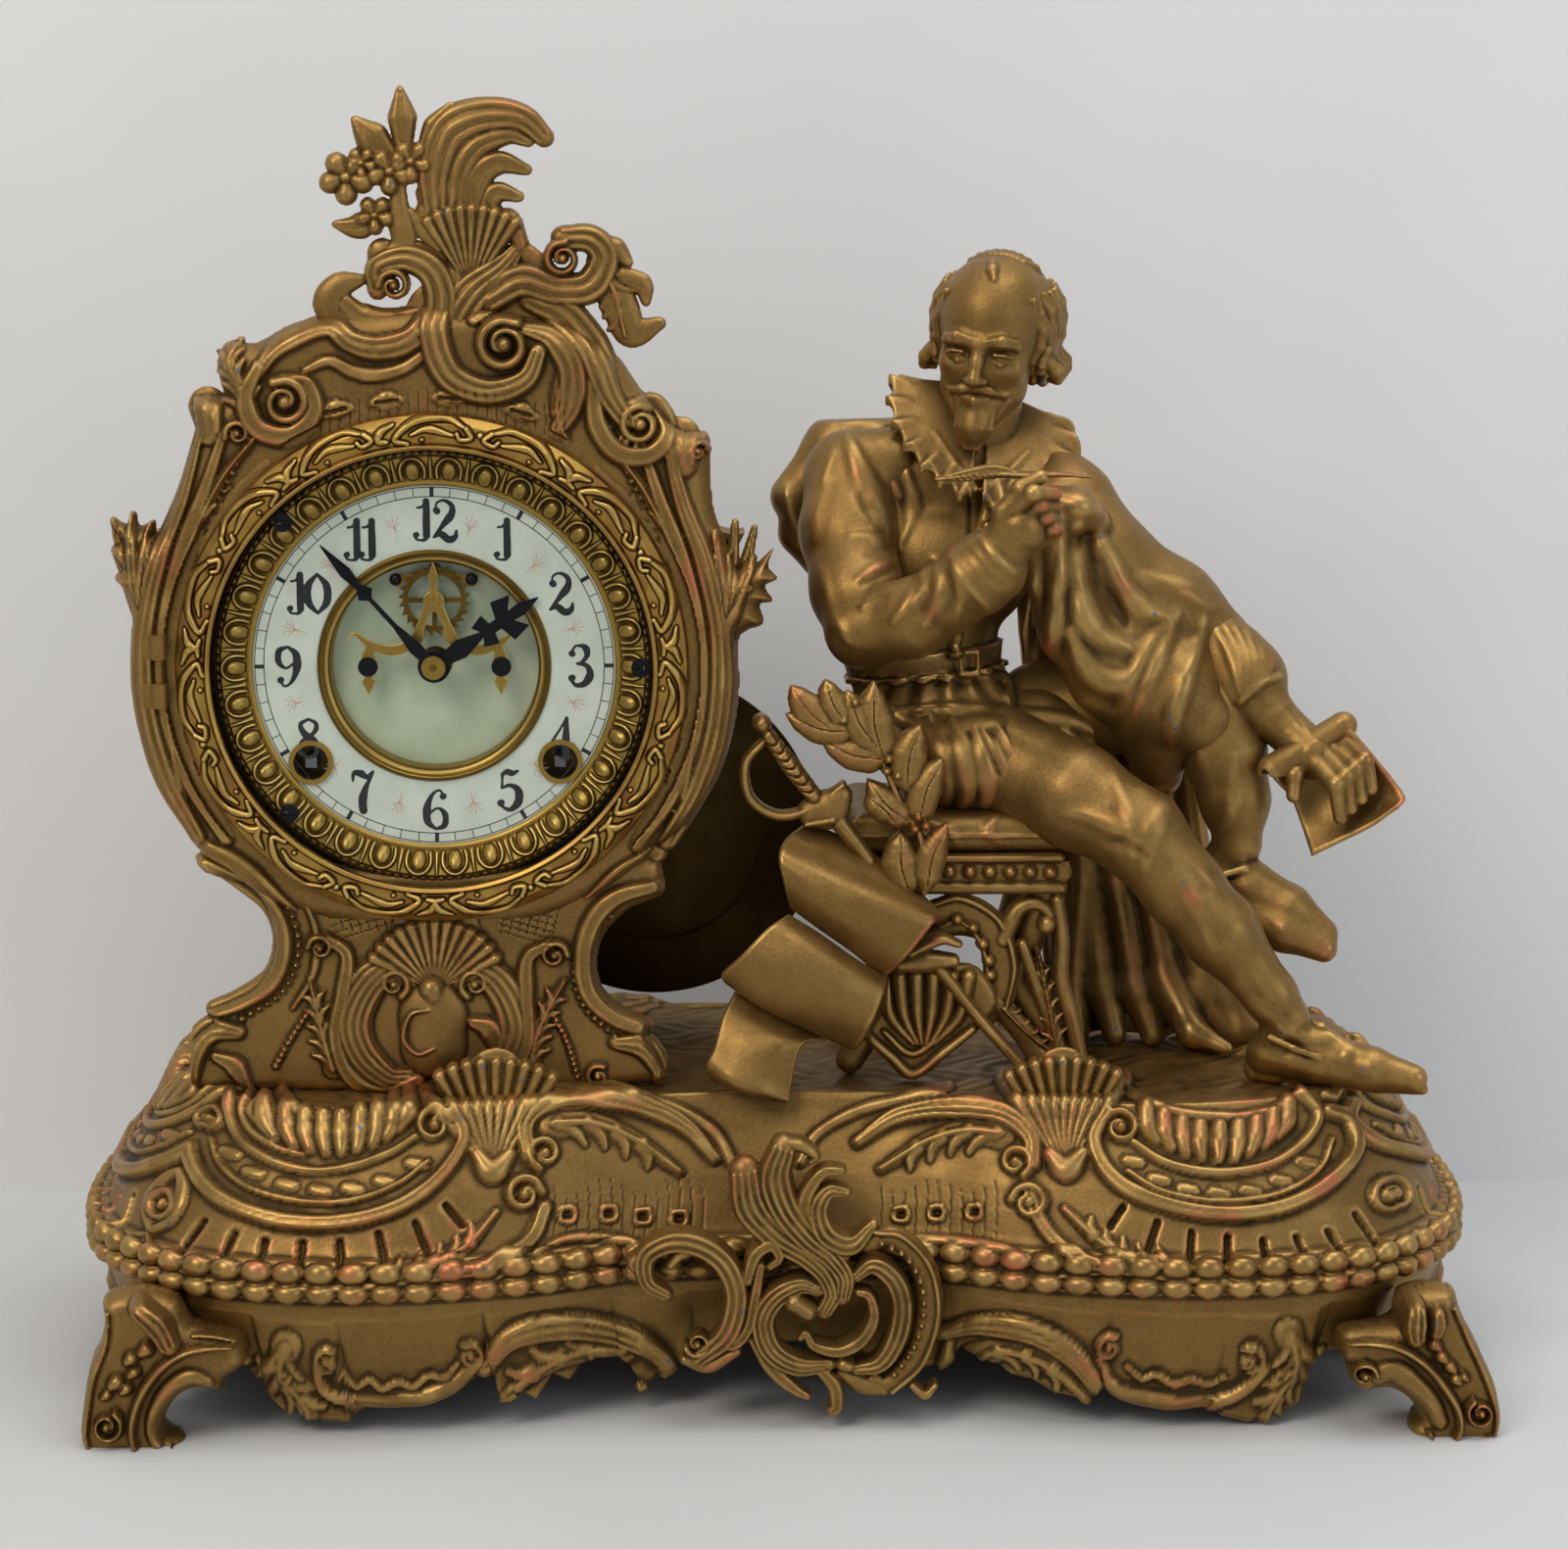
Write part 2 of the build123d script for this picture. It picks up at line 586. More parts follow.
def bezel_parts():
    """The glazed bezel with its scrolled rim, side hinge and catch."""
    back_y = CASE_FRONT_Y - SEAT_GAP
    bezel = on_dial(0, 0) * slab(ring(BEZEL_R, BEZEL_R - BEZEL_WIDTH), BEZEL_DEPTH, back_y)
    hinge_x, hinge_y = -(SCROLL_RIM_R + HINGE_PIN_R * 2.4), back_y - HINGE_PIN_R * 2.6
    knuckle_r, third = HINGE_PIN_R * 2.2, HINGE_LENGTH / 3
    glass_back = back_y - BEZEL_DEPTH * 0.3
    write(on_dial(0, 0) * slab(Circle(BEZEL_R - BEZEL_WIDTH), GLASS_THICK, glass_back), "bezel_glass")
    rim = ring(SCROLL_RIM_R - CREST_ARM_R * 0.3, BEZEL_R)
    for k in range(16):
        x, z = polar(SCROLL_RIM_R - CREST_ARM_R * 0.4, (k + 0.5) * TURN / 16)
        rim += Pos(x, z) * Circle(CREST_ARM_R * 0.4)
    rim_solid = on_dial(0, 0) * slab(rim - Circle(BEZEL_R), BEZEL_DEPTH * 0.4, back_y)
    lug = Box(knuckle_r * 2.4, knuckle_r * 2, third - RUN_GAP * 4)
    x0 = DIAL_X + hinge_x
    lug_solid = Pos(x0 + knuckle_r * 1.2, hinge_y, DIAL_Z) * lug
    barrel = Pos(x0, hinge_y, DIAL_Z) * Cylinder(knuckle_r, third - RUN_GAP * 4)
    pin_hole = Pos(x0, hinge_y, DIAL_Z) * Cylinder(HINGE_PIN_R + RUN_GAP, HINGE_LENGTH * 2)
    lug_solid -= dial_bore(BEZEL_R, CASE_FRONT_Y * 2, CASE_FRONT_Y)
    tab = Pos(DIAL_X + SCROLL_RIM_R + CREST_ARM_R * 0.2, back_y - BEZEL_DEPTH * 0.2, DIAL_Z)
    tab_solid = tab * Box(CREST_ARM_R, BEZEL_DEPTH * 0.4, CREST_ARM_R)
    write(biggest(fuse([bezel, rim_solid, lug_solid, barrel, tab_solid]) - pin_hole), "bezel")
    ears = []
    for end in (-1, 1):
        z = DIAL_Z + end * third
        tube = Pos(x0, hinge_y, z) * Cylinder(knuckle_r, third)
        arm = Pos(
            x0 - knuckle_r, (hinge_y + CASE_FRONT_Y) / 2, z
        ) * Box(knuckle_r * 2, CASE_FRONT_Y - hinge_y, third)
        ears.append(tube.fuse(arm) - Pos(x0, hinge_y, z) * Cylinder(HINGE_PIN_R, HINGE_LENGTH * 2))
    ears = [
        biggest(
            ear - Pos(DIAL_X, 0, DIAL_Z) * slab(Circle(SCROLL_RIM_R + SEAT_GAP), BEZEL_DEPTH, back_y + OVER)
        )
        for ear in ears
    ]
    front_cut = Pos(x0, CASE_FRONT_Y + HINGE_LENGTH / 2, DIAL_Z) * Box(
        HINGE_LENGTH * 2, HINGE_LENGTH, HINGE_LENGTH * 2
    )
    pin = Pos(x0, hinge_y, DIAL_Z) * Cylinder(HINGE_PIN_R, HINGE_LENGTH)
    write(fuse([pin] + [biggest(ear - front_cut) for ear in ears]), "bezel_hinge")


# Movement can and cover

CAN_FLANGE_R = CAN_R * 1.05
COVER_Y = CAN_BACK_Y + SEAT_GAP


def can_and_cover():
    """The drum round the movement, its back opening, and the dished cover hanging from one screw."""
    tube = on_dial(0, 0) * slab(ring(CAN_R, CAN_R - CAN_WALL), CAN_BACK_Y - CAN_FRONT_Y, CAN_BACK_Y)
    flange = on_dial(0, 0) * slab(ring(CAN_FLANGE_R, CAN_R - CAN_WALL), CAN_WALL, CAN_FRONT_Y + CAN_WALL)
    back = on_dial(0, 0) * slab(ring(CAN_R, ACCESS_R), CAN_WALL, CAN_BACK_Y)
    pivot_x = math.sqrt(COVER_PIVOT_R ** 2 - COVER_PIVOT_DROP ** 2)
    hole = rod(DIAL_X + pivot_x, DIAL_Z - COVER_PIVOT_DROP, SCREW_R, CAN_FRONT_Y, COVER_Y)
    write(fuse([tube, flange, back]) - hole, "movement_can")
    x, z = DIAL_X + pivot_x, DIAL_Z - COVER_PIVOT_DROP - COVER_PIVOT_R
    at = Pos(x, 0, z)
    step = COVER_R - COVER_RIM
    rim = at * slab(ring(COVER_R, step), COVER_THICK, COVER_Y + COVER_THICK)
    wall = at * slab(ring(step, step - COVER_THICK), COVER_DISH, COVER_Y + COVER_DISH)
    middle = at * slab(Circle(step), COVER_THICK, COVER_Y + COVER_DISH)
    ear_face = Pos(0, (COVER_R * 0.9 + COVER_PIVOT_R) / 2) * Rectangle(
        SCREW_R * 5, COVER_PIVOT_R - COVER_R * 0.9
    )
    ear_face += Pos(0, COVER_PIVOT_R) * Circle(SCREW_R * 2.5)
    ear = at * slab(ear_face, COVER_THICK, COVER_Y + COVER_THICK)
    cover = fuse([rim, wall, middle, ear])
    cover -= rod(DIAL_X + pivot_x, DIAL_Z - COVER_PIVOT_DROP, SCREW_R + RUN_GAP, CAN_FRONT_Y, COVER_Y * 2)
    write(cover, "rear_cover")
    shank_x, shank_z = DIAL_X + pivot_x, DIAL_Z - COVER_PIVOT_DROP
    head_y = COVER_Y + COVER_THICK + SEAT_GAP
    shank = rod(shank_x, shank_z, SCREW_R, CAN_BACK_Y - CAN_WALL, head_y)
    return shank.fuse(rod(shank_x, shank_z, SCREW_R * 2, head_y, head_y + SCREW_R))


# Movement

HOUR_HAND_Y = DIAL_Y - HAND_THICK * 1.6
MINUTE_HAND_Y = HOUR_HAND_Y - HAND_THICK * 2.6
HAND_NUT_Y = MINUTE_HAND_Y - HAND_THICK
TOOTH_ADD_SHARE = 0.45
TOOTH_DEEP_SHARE = 0.95
TOOTH_TIP_SHARE = 0.16
TOOTH_ROOT_SHARE = 0.24
GAP_FRONT_Y = FRONT_PLATE_Y + PLATE_THICK
GAP_BACK_Y = GAP_FRONT_Y + PLATE_GAP
BACK_PLATE_Y = GAP_BACK_Y + PLATE_THICK
CENTRE = (0.0, 0.0)


def gear_face(teeth, module, angle):
    """A spur wheel's outline with one tooth centred on the given angle."""
    r = teeth * module / 2
    tip, root, pitch = r + module * TOOTH_ADD_SHARE, r - module * TOOTH_DEEP_SHARE, TURN / teeth
    points = []
    for k in range(teeth):
        for radius, turn in (
            (root, -TOOTH_ROOT_SHARE), (tip, -TOOTH_TIP_SHARE), (tip, TOOTH_TIP_SHARE),
            (root, TOOTH_ROOT_SHARE),
        ):
            points.append(polar(radius, angle + (k + turn) * pitch))
    return make_face(Polyline(points, close=True))


def wheel(at, teeth, module, angle, level, hub_r, thick=WHEEL_THICK):
    """A spoked wheel at a level behind the front plate, bored for its arbor."""
    face = gear_face(teeth, module, angle)
    r = teeth * module / 2
    if r > hub_r * 6:
        for k in range(4):
            face -= Pos(*polar(r * 0.5, k * STEEP + STEEP / 2)) * Circle(r * 0.24)
    return on_dial(*at) * slab(face, thick, GAP_FRONT_Y + level + thick)


def arbor(at, r, y_front, y_back):
    return on_dial(*at) * slab(Circle(r), y_back - y_front, y_back)


def apart(a, b):
    return math.hypot(b[0] - a[0], b[1] - a[1])


def toward(a, b):
    return math.atan2(b[1] - a[1], b[0] - a[0]) / DEG


def mate(a, b, ra, rb, side):
    """The third corner of a triangle on a and b, at ra from a and rb from b."""
    d = apart(a, b)
    along = (ra * ra - rb * rb + d * d) / (2 * d)
    off = side * math.sqrt(max(ra * ra - along * along, 0))
    angle = toward(a, b)
    x, z = polar(along, angle)
    u, w = polar(off, angle + STEEP)
    return a[0] + x + u, a[1] + z + w


def reach(teeth_a, teeth_b, module):
    return (teeth_a + teeth_b) * module / 2


HANG_Z = PALLET_Z + ARBOR_R * 5
GREAT = (WIND_X, WIND_Z)
STRIKE_GREAT = (-WIND_X, WIND_Z)
GREAT_REACH = reach(GREAT_TEETH, SECOND_PINION_TEETH, MODULE_MAIN)
SECOND_REACH = reach(SECOND_TEETH, CENTRE_PINION_TEETH, MODULE_MAIN)
SECOND = mate(GREAT, CENTRE, GREAT_REACH, SECOND_REACH, -1)
STRIKE_SECOND = (-SECOND[0], SECOND[1])
ESCAPE = (0.0, ESCAPE_Z)
THIRD_REACH = reach(CENTRE_TEETH, THIRD_PINION_TEETH, MODULE_TRAIN)
ESCAPE_REACH = reach(THIRD_TEETH, ESCAPE_PINION_TEETH, MODULE_TRAIN)
THIRD = mate(CENTRE, ESCAPE, THIRD_REACH, ESCAPE_REACH, -1)
STRIKE_REACH = reach(SECOND_TEETH, STRIKE_PINION_TEETH, MODULE_MAIN)
STRIKE_THIRD = (STRIKE_SECOND[0] - STRIKE_REACH * 0.17, STRIKE_SECOND[1] + STRIKE_REACH * 0.985)
FLY_REACH = reach(STRIKE_PIN_TEETH, STRIKE_PINION_TEETH, MODULE_TRAIN)
FLY = (STRIKE_THIRD[0] + FLY_REACH * 0.342, STRIKE_THIRD[1] + FLY_REACH * 0.940)
MOTION_REACH = reach(CANNON_TEETH, MINUTE_TEETH, MODULE_MOTION)
MOTION = (-MOTION_REACH * 0.6, -MOTION_REACH * 0.8)
MODULE_HOUR = 2 * MOTION_REACH / (MINUTE_PINION_TEETH + HOUR_TEETH)

GREAT_LEVEL_SHARE = 0.27
SPRING_LEVEL_SHARE = 0.34
SECOND_LEVEL_SHARE = 0.80
STRIKE_LEVEL_SHARE = 0.88
CENTRE_LEVEL_SHARE = 0.07
THIRD_LEVEL_SHARE = 0.16
PIN_LEVEL_SHARE = 0.47
FLY_LEVEL_SHARE = 0.62
PILLAR_SHARES = ((0.0, -0.44), (0.45, 0.03), (-0.45, 0.03), (0.38, 0.41), (-0.38, 0.41))
PAN_POST_SHARES = ((0.45, -0.44), (-0.45, -0.44), (0.45, 0.44), (-0.45, 0.44))


def gap_angle(to, teeth):
    """The angle that puts a gap, not a tooth, on the given direction."""
    return to + TURN / teeth / 2


def pivot_holes():
    """Every arbor that runs in both plates, with its place."""
    return [SECOND, CENTRE, THIRD, ESCAPE, STRIKE_SECOND, STRIKE_THIRD, FLY]


def plates():
    face = RectangleRounded(PLATE_W, PLATE_H, PLATE_W / 10)
    arbor_face = Circle(ARBOR_R + RUN_GAP)
    for at in pivot_holes():
        face -= Pos(*at) * arbor_face
    for at in (GREAT, STRIKE_GREAT):
        face -= Pos(*at) * Circle(WIND_ARBOR_R + RUN_GAP)
    pallet_hole = Pos(0, PALLET_Z) * arbor_face
    front = face - pallet_hole
    minute_stud = Pos(*MOTION) * Circle(ARBOR_R)
    write(on_dial(0, 0) * slab(front - minute_stud, PLATE_THICK, GAP_FRONT_Y), "front_plate")
    back = on_dial(0, 0) * slab(face - pallet_hole, PLATE_THICK, BACK_PLATE_Y)
    write(back.fuse(suspension_cock()), "back_plate")
    pillars = [
        arbor((x * PLATE_W, z * PLATE_H), PILLAR_R, GAP_FRONT_Y, GAP_BACK_Y)
        for x, z in PILLAR_SHARES
    ]
    for x, z in PAN_POST_SHARES:
        pillars.append(arbor((x * PLATE_W, z * PLATE_H), PILLAR_R * 0.8, PAN_BACK_Y, FRONT_PLATE_Y))
    return pillars


def suspension_cock():
    """The riser on the back plate that carries the suspension stud and the regulator's rear end."""
    low, high = PALLET_Z + ARBOR_R * 3, REGULATOR_Z + ARBOR_R * 3
    face = Pos(0, (low + high) / 2) * Rectangle(PLATE_W * 0.2, high - low)
    face -= Pos(0, HANG_Z) * Circle(ARBOR_R) + Pos(0, REGULATOR_Z) * Circle(ARBOR_R + RUN_GAP)
    return on_dial(0, 0) * slab(face, WHEEL_THICK, BACK_PLATE_Y + WHEEL_THICK)


def great_wheels():
    """Both great wheels, their winding arbors with square ends, and the two mainsprings."""
    level, springs = GREAT_LEVEL_SHARE * PLATE_GAP, []
    for name, at, second in (("time", GREAT, SECOND), ("strike", STRIKE_GREAT, STRIKE_SECOND)):
        body = wheel(at, GREAT_TEETH, MODULE_MAIN, toward(at, second), level, WIND_ARBOR_R)
        body -= arbor(at, WIND_ARBOR_R + RUN_GAP, FRONT_PLATE_Y, BACK_PLATE_Y)
        write(body, f"{name}_great_wheel")
        shaft = arbor(at, WIND_ARBOR_R, PAN_FRONT_Y, BACK_PLATE_Y)
        square = Rectangle(WIND_SQUARE, WIND_SQUARE)
        shaft -= arbor(at, WIND_ARBOR_R * 2, PAN_FRONT_Y, FRONT_PLATE_Y - WIND_SQUARE)
        end = on_dial(*at) * slab(square, FRONT_PLATE_Y - WIND_SQUARE - DIAL_Y, FRONT_PLATE_Y - WIND_SQUARE)
        write(shaft.fuse(end), f"{name}_winding_arbor")
        spring = ring(SPRING_R, WIND_ARBOR_R * 2)
        spring_back = GAP_FRONT_Y + SPRING_LEVEL_SHARE * PLATE_GAP + SPRING_WIDTH
        springs.append(on_dial(*at) * slab(spring, SPRING_WIDTH, spring_back))
    write(Compound(children=springs), "mainsprings")


def train_arbor(at, big, pinion, y_front=GAP_FRONT_Y - PLATE_THICK, y_back=BACK_PLATE_Y):
    """A wheel and its pinion as one solid. big and pinion are (teeth, module, angle, level)."""
    pieces = [arbor(at, ARBOR_R, y_front, y_back)]
    for spec in (big, pinion):
        if spec:
            teeth, module, angle, level = spec
            deep = WHEEL_THICK if spec is big else WHEEL_THICK * 2
            pieces.append(wheel(at, teeth, module, angle, level - (deep - WHEEL_THICK) / 2, ARBOR_R, deep))
    return fuse(pieces)


def time_train():
    great_level = GREAT_LEVEL_SHARE * PLATE_GAP
    second_level = SECOND_LEVEL_SHARE * PLATE_GAP
    centre_level = CENTRE_LEVEL_SHARE * PLATE_GAP
    third_level = THIRD_LEVEL_SHARE * PLATE_GAP
    second = train_arbor(
        SECOND,
        (SECOND_TEETH, MODULE_MAIN, toward(SECOND, CENTRE), second_level),
        (
            SECOND_PINION_TEETH, MODULE_MAIN, gap_angle(toward(SECOND, GREAT), SECOND_PINION_TEETH),
            great_level,
        ),
    )
    write(second, "second_wheel")
    nut_back = HAND_NUT_Y - HAND_THICK
    centre = train_arbor(
        CENTRE,
        (CENTRE_TEETH, MODULE_TRAIN, toward(CENTRE, THIRD), centre_level),
        (
            CENTRE_PINION_TEETH, MODULE_MAIN, gap_angle(toward(CENTRE, SECOND), CENTRE_PINION_TEETH),
            second_level,
        ),
        nut_back,
    )
    write(centre.fuse(cannon_pinion()), "centre_wheel")
    third = train_arbor(
        THIRD,
        (THIRD_TEETH, MODULE_TRAIN, toward(THIRD, ESCAPE), third_level),
        (
            THIRD_PINION_TEETH, MODULE_TRAIN, gap_angle(toward(THIRD, CENTRE), THIRD_PINION_TEETH),
            centre_level,
        ),
    )
    write(third, "third_wheel")
    escape_arbor = train_arbor(
        ESCAPE,
        None,
        (
            ESCAPE_PINION_TEETH, MODULE_TRAIN, gap_angle(toward(ESCAPE, THIRD), ESCAPE_PINION_TEETH),
            third_level,
        ),
        RECESS_Y - RECESS_DEPTH * 0.62,
    )
    write(fuse([escape_arbor, escape_rim()]), "escape_wheel")


def strike_train():
    great_level = GREAT_LEVEL_SHARE * PLATE_GAP
    second_level = STRIKE_LEVEL_SHARE * PLATE_GAP
    pin_level = PIN_LEVEL_SHARE * PLATE_GAP
    second = train_arbor(
        STRIKE_SECOND,
        (SECOND_TEETH, MODULE_MAIN, toward(STRIKE_SECOND, STRIKE_THIRD), second_level),
        (
            SECOND_PINION_TEETH, MODULE_MAIN,
            gap_angle(toward(STRIKE_SECOND, STRIKE_GREAT), SECOND_PINION_TEETH), great_level,
        ),
    )
    write(second, "strike_second_wheel")
    third = train_arbor(
        STRIKE_THIRD,
        (STRIKE_PIN_TEETH, MODULE_TRAIN, toward(STRIKE_THIRD, FLY), pin_level),
        (
            STRIKE_PINION_TEETH, MODULE_MAIN,
            gap_angle(toward(STRIKE_THIRD, STRIKE_SECOND), STRIKE_PINION_TEETH), second_level,
        ),
    )
    write(third, "strike_pin_wheel")
    fly = train_arbor(
        FLY,
        None,
        (
            STRIKE_PINION_TEETH, MODULE_TRAIN, gap_angle(toward(FLY, STRIKE_THIRD), STRIKE_PINION_TEETH),
            pin_level,
        ),
    )
    vane_y = GAP_FRONT_Y + FLY_LEVEL_SHARE * PLATE_GAP + WHEEL_THICK * 2
    vane = on_dial(*FLY) * slab(Rectangle(FLY_R * 2, WHEEL_THICK / 2), WHEEL_THICK * 4, vane_y)
    write(fly.fuse(vane), "fly")


ESCAPE_WHEEL_Y = RECESS_Y - RECESS_DEPTH * 0.34
PALLET_ARM_Y = RECESS_Y - RECESS_DEPTH * 0.10


def escape_rim():
    """The thin toothed escape wheel that shows in the dial's opening."""
    points, root = [], ESCAPE_R - ESCAPE_TOOTH
    for k in range(ESCAPE_TEETH // 2):
        for r, turn in ((root, 0.0), (ESCAPE_R, 0.72), (root, 0.80)):
            points.append(polar(r, (k + turn) * TURN * 2 / ESCAPE_TEETH))
    face = make_face(Polyline(points, close=True)) - Circle(root - ESCAPE_TOOTH)
    for k in range(2):
        face += Rot(0, 0, k * STEEP) * Rectangle(2 * root, ESCAPE_TOOTH)
    face += Circle(ARBOR_R * 2.4)
    return on_dial(*ESCAPE) * slab(face, WHEEL_THICK / 2, ESCAPE_WHEEL_Y)


def pallets():
    """The pallet arch with its two round jewels, its arbor and the crutch behind the back plate."""
    top, pin_r, spread = (0.0, PALLET_Z), ARBOR_R, ESCAPE_R + ARBOR_R + SEAT_GAP
    shaft = arbor(top, ARBOR_R, PALLET_ARM_Y - WHEEL_THICK, BACK_PLATE_Y + WHEEL_THICK * 3)
    pieces = [shaft]
    for side in (-1, 1):
        x, z = polar(spread, PALLET_SPREAD_ANGLE)
        x, z = side * x, ESCAPE_Z + z
        arm_length, lean = apart(top, (x, z)), toward(top, (x, z))
        bar = Pos(
            (x + top[0]) / 2, (z + top[1]) / 2
        ) * Rot(0, 0, lean) * Rectangle(arm_length, ARBOR_R * 1.6)
        bar += Pos(x, z) * Circle(pin_r * 1.7)
        pieces.append(on_dial(0, 0) * slab(bar, WHEEL_THICK / 2, PALLET_ARM_Y))
        pieces.append(arbor((x, z), pin_r, ESCAPE_WHEEL_Y - WHEEL_THICK, PALLET_ARM_Y))
    crutch_y = BACK_PLATE_Y + WHEEL_THICK * 3
    crutch = Pos(0, PALLET_Z - PENDULUM_LENGTH / 8) * Rectangle(ARBOR_R * 1.6, PENDULUM_LENGTH / 4)
    pieces.append(
        on_dial(0, 0) * slab(crutch + Pos(0, PALLET_Z) * Circle(ARBOR_R * 1.8), WHEEL_THICK, crutch_y)
    )
    write(fuse(pieces), "pallets")


def bridge():
    """The gilt anchor-shaped bridge over the escape wheel, on two screwed arms."""
    boss_r, arm_x, arm_z = ARBOR_R * 3.4, DIAL_OPENING_R * 0.57, 0.4
    face = Pos(0, ESCAPE_Z) * Circle(boss_r) + Circle(ARBOR_R * 5.4)
    neck = [(-ARBOR_R, ESCAPE_Z), (ARBOR_R, ESCAPE_Z), (ARBOR_R * 4.4, 0), (-ARBOR_R * 4.4, 0)]
    face += make_face(Polyline(neck, close=True))
    for side in (-1, 1):
        face += Pos(side * arm_x / 2, -ARBOR_R) * Rectangle(arm_x, ARBOR_R * 2)
        face += Pos(side * arm_x, -arm_z) * Circle(ARBOR_R * 2.8)
        drop = [
            (side * arm_x - ARBOR_R * 1.8, -ARBOR_R), (side * arm_x + ARBOR_R * 1.8, -ARBOR_R),
            (side * arm_x, -ARBOR_R * 7),
        ]
        face += make_face(Polyline(drop, close=True))
        horn = [
            (side * arm_x, 0), (side * arm_x, -ARBOR_R * 1.6),
            (side * (arm_x + ARBOR_R * 5.6), ARBOR_R * 3.6),
        ]
        face += make_face(Polyline(horn, close=True))
    face -= Circle(HOUR_PIPE_R + RUN_GAP * 4) + Pos(0, ESCAPE_Z) * Circle(ARBOR_R + RUN_GAP)
    y_back = RECESS_Y - RECESS_DEPTH * 0.56
    body = on_dial(0, 0) * slab(face, WHEEL_THICK, y_back)
    for side in (-1, 1):
        body = body.fuse(arbor((side * arm_x, -arm_z), ARBOR_R * 2, y_back, RECESS_Y))
    write(body, "escapement_bridge")
    screws = [
        arbor((side * arm_x, -arm_z), ARBOR_R * 2.5, y_back - WHEEL_THICK * 2.2, y_back - WHEEL_THICK)
        for side in (-1, 1)
    ]
    return screws


HOUR_PIPE_R = ARBOR_R * 2.4
CANNON_PIPE_R = ARBOR_R * 1.6
MOTION_BACK_Y = FRONT_PLATE_Y - SEAT_GAP
CANNON_Y = MOTION_BACK_Y - WHEEL_THICK * 0.2


def cannon_pinion():
    """The pinion and pipe on the centre arbor that carry the minute hand."""
    pinion = gear_face(CANNON_TEETH, MODULE_MOTION, toward(CENTRE, MOTION))
    solid = on_dial(0, 0) * slab(pinion, WHEEL_THICK * 1.6, CANNON_Y)
    return solid.fuse(arbor(CENTRE, CANNON_PIPE_R, MINUTE_HAND_Y - HAND_THICK, CANNON_Y))


def motion_works(studs):
    """The minute wheel and hour wheel between the front plate and the dial."""
    cannon_y, hour_y = CANNON_Y, MOTION_BACK_Y - WHEEL_THICK * 2.2
    to_minute = toward(CENTRE, MOTION)
    from_minute = toward(MOTION, CENTRE)
    minute = on_dial(*MOTION) * slab(
        gear_face(MINUTE_TEETH, MODULE_MOTION, gap_angle(from_minute, MINUTE_TEETH)), WHEEL_THICK, cannon_y
    )
    pinion = on_dial(*MOTION) * slab(
        gear_face(MINUTE_PINION_TEETH, MODULE_HOUR, from_minute), WHEEL_THICK * 2, hour_y + WHEEL_THICK
    )
    minute = minute.fuse(pinion) - arbor(MOTION, ARBOR_R + RUN_GAP, DIAL_Y, GAP_FRONT_Y)
    write(minute, "minute_wheel")
    studs.append(arbor(MOTION, ARBOR_R, hour_y - WHEEL_THICK * 1.4, GAP_FRONT_Y))
    hour = on_dial(0, 0) * slab(
        gear_face(HOUR_TEETH, MODULE_HOUR, gap_angle(to_minute, HOUR_TEETH)), WHEEL_THICK, hour_y
    )
    hour = hour.fuse(arbor(CENTRE, HOUR_PIPE_R, HOUR_HAND_Y - HAND_THICK, hour_y))
    write(hour - arbor(CENTRE, CANNON_PIPE_R + RUN_GAP, DIAL_Y * 2, GAP_FRONT_Y), "hour_wheel")


def hand_outline(shares, length):
    right = [(x * HAND_WIDTH, z * length) for x, z in shares]
    left = [(-x, z) for x, z in reversed(right)]
    return make_face(Polyline(right + left, close=True))


MINUTE_SHARES = (
    (0.35, 0.0), (0.62, 0.16), (0.22, 0.34), (0.20, 0.56), (0.80, 0.60), (0.30, 0.66), (0.55, 0.78),
    (0.05, 1.0),
)
HOUR_SHARES = (
    (0.35, 0.0), (0.90, 0.26), (0.30, 0.46), (1.00, 0.42), (1.50, 0.54), (0.50, 0.56), (0.50, 0.62),
    (2.00, 0.66),
    (1.60, 0.82), (0.50, 0.74), (0.60, 0.84), (0.05, 1.0),
)


def hands():
    """Both hands at the photographed time, and the nut that holds the minute hand."""
    hour_face = hand_outline(HOUR_SHARES, HOUR_HAND) + Circle(HOUR_PIPE_R * 1.7)
    hour = on_dial(0, 0) * slab(Rot(0, 0, HOUR_ANGLE) * hour_face, HAND_THICK, HOUR_HAND_Y)
    write(hour - arbor(CENTRE, HOUR_PIPE_R, DIAL_Y * 2, GAP_FRONT_Y), "hour_hand")
    minute_face = hand_outline(MINUTE_SHARES, MINUTE_HAND) + Circle(CANNON_PIPE_R * 2)
    minute = on_dial(0, 0) * slab(Rot(0, 0, MINUTE_ANGLE) * minute_face, HAND_THICK, MINUTE_HAND_Y)
    write(minute - arbor(CENTRE, CANNON_PIPE_R, DIAL_Y * 2, GAP_FRONT_Y), "minute_hand")
    nut = on_dial(0, 0) * slab(Circle(ARBOR_R * 3) - Circle(ARBOR_R), HAND_THICK * 1.4, HAND_NUT_Y)
    write(nut, "hand_nut")


BOB_Y = BACK_PLATE_Y + WHEEL_THICK * 4
PENDULUM_Y = BOB_Y + BOB_THICK / 2


